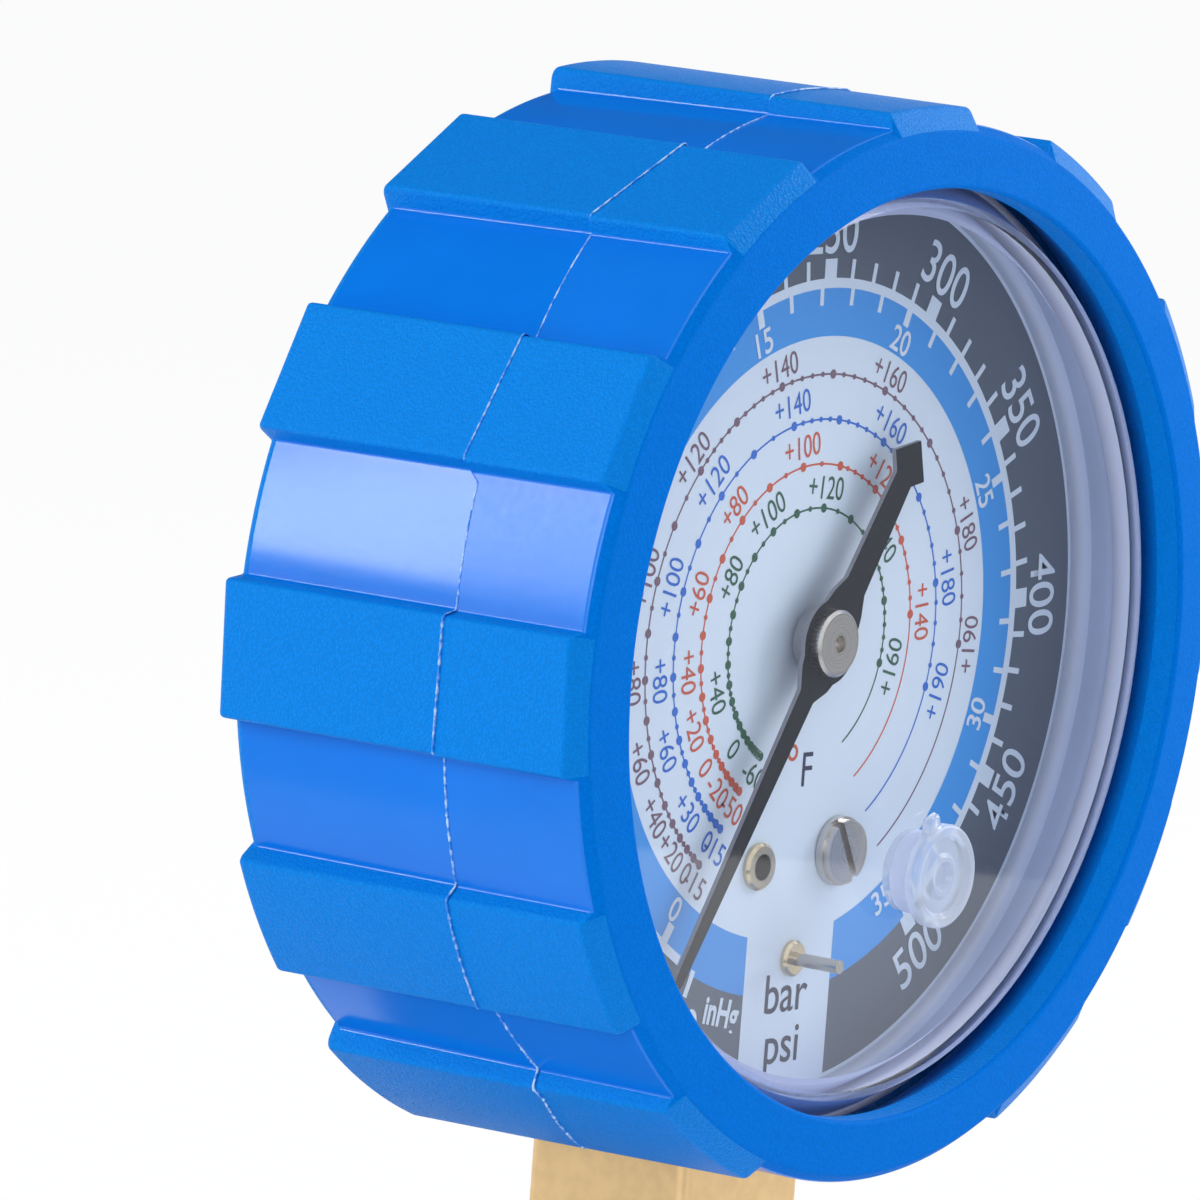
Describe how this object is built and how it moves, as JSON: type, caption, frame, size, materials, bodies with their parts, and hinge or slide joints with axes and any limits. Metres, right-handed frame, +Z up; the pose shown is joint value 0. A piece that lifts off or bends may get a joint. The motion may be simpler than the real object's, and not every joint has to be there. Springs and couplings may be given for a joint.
{
  "type": "refrigerant manifold gauge",
  "caption": "Round dial pressure gauge in a ribbed blue rubber boot, with a clear lens, black pointer, geared movement and a square brass stem with a pipe thread.",
  "frame": {"origin": "on the stem axis, at the middle of the pipe thread", "axes": "Z up along the stem towards the dial, X to the right across the dial, the dial faces -Y"},
  "size_m": [0.078, 0.0315, 0.099],
  "materials": {
    "boot_rubber": "satin blue moulded rubber, fine leather grain on the grip pads",
    "case_steel": "black painted pressed steel",
    "bezel_steel": "bright crimped steel",
    "black_rubber": "matt black rubber",
    "lens_clear": "clear moulded plastic, polished",
    "plug_clear": "clear soft plastic",
    "dial_print": "white printed aluminium with blue and black scale rings",
    "brass": "fine turned and brushed brass",
    "plated_steel": "nickel plated steel, fine turned",
    "pointer_black": "matt black on aluminium",
    "spring_bronze": "bright drawn bronze strip"
  },
  "bodies": {
    "gauge": {"boot": "boot_rubber", "case": "case_steel", "bezel_ring": "bezel_steel", "lens_gasket": "black_rubber", "relief_plug": "black_rubber", "lens": "lens_clear", "dial_plate": "dial_print", "dial_eyelet": "brass", "stop_pin_eyelet": "brass", "stop_pin": "plated_steel", "hairspring": "spring_bronze", "hairspring_stud": "brass", "bourdon_tube": "spring_bronze", "movement_front_plate": "brass", "movement_back_plate": "brass", "pillar_left": "brass", "pillar_right": "brass", "plate_screw_left": "plated_steel", "plate_screw_right": "plated_steel", "movement_screw_left": "plated_steel", "movement_screw_right": "plated_steel", "case_screw_left": "plated_steel", "case_screw_right": "plated_steel", "socket": "brass", "restrictor": "brass"},
    "sector": {"sector_gear": "brass", "sector_arbor": "plated_steel", "link_screw": "plated_steel"},
    "pointer_set": {"pointer": "pointer_black", "pointer_hub": "plated_steel", "pointer_bushing": "pointer_black", "pinion_arbor": "plated_steel", "pinion": "brass", "hairspring_collet": "brass"},
    "link_arm": {"link": "brass", "link_pin": "plated_steel"},
    "tube_tip": {"tip_block": "brass"},
    "adjuster": {"adjusting_screw": "plated_steel"},
    "plug": {"lens_plug": "plug_clear"}
  },
  "joints": [
    {"name": "sector_swing", "type": "hinge", "parent": "gauge", "child": "sector", "pos_m": [0.01164, -0.0046, 0.04011], "axis": [0, 1, 0], "range_deg": [-31.05, 0.94], "stiffness_Nm_per_rad": 0.02},
    {"name": "pointer_turn", "type": "hinge", "parent": "gauge", "child": "pointer_set", "pos_m": [0, -0.0046, 0.055], "axis": [0, 1, 0], "range_deg": [-9, 295.2]},
    {"name": "link_swing", "type": "hinge", "parent": "sector", "child": "link_arm", "pos_m": [0.01528, -0.0036, 0.03746], "axis": [0, 1, 0], "range_deg": [-1, 31.2]},
    {"name": "tube_tip_shift", "type": "hinge", "parent": "gauge", "child": "tube_tip", "pos_m": [0, 0.0023, 0.055], "axis": [0, 1, 0], "range_deg": [-6.4, 0.3]},
    {"name": "adjusting_screw_turn", "type": "hinge", "parent": "gauge", "child": "adjuster", "pos_m": [0.0054, -0.0095, 0.0395], "axis": [0, -1, 0], "range_deg": [-180, 180]},
    {"name": "lens_plug_pull", "type": "slide", "parent": "gauge", "child": "plug", "axis": [0, -1, 0], "range_m": [0, 0.008]}
  ],
  "couplings": [
    {"joint": "pointer_turn", "follows": "sector_swing", "ratio": -9.5},
    {"joint": "link_swing", "follows": "sector_swing", "ratio": -1},
    {"joint": "tube_tip_shift", "follows": "sector_swing", "ratio": 0.2025}
  ]
}
